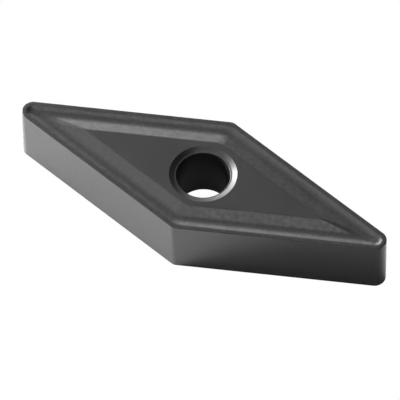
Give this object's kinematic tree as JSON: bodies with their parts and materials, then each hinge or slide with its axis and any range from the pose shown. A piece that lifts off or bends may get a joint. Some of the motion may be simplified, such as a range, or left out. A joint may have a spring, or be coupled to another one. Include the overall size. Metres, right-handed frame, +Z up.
{
  "type": "carbide turning insert",
  "caption": "Long thin diamond-shaped carbide turning insert, double-sided, with a moulded chip groove round each face and a plain clamping hole.",
  "frame": {"origin": "on the hole's axis, in the plane of the lower seat on which the insert rests", "axes": "+X along the long diagonal towards one cutting corner, +Y along the short diagonal towards one blunt corner, +Z up along the hole, out of the upper seat"},
  "size_m": [0.028, 0.01, 0.0048],
  "materials": {
    "coated_carbide": "satin dark grey wear coating over sintered carbide"
  },
  "bodies": {
    "root": {"insert_body": "coated_carbide"}
  },
  "joints": []
}
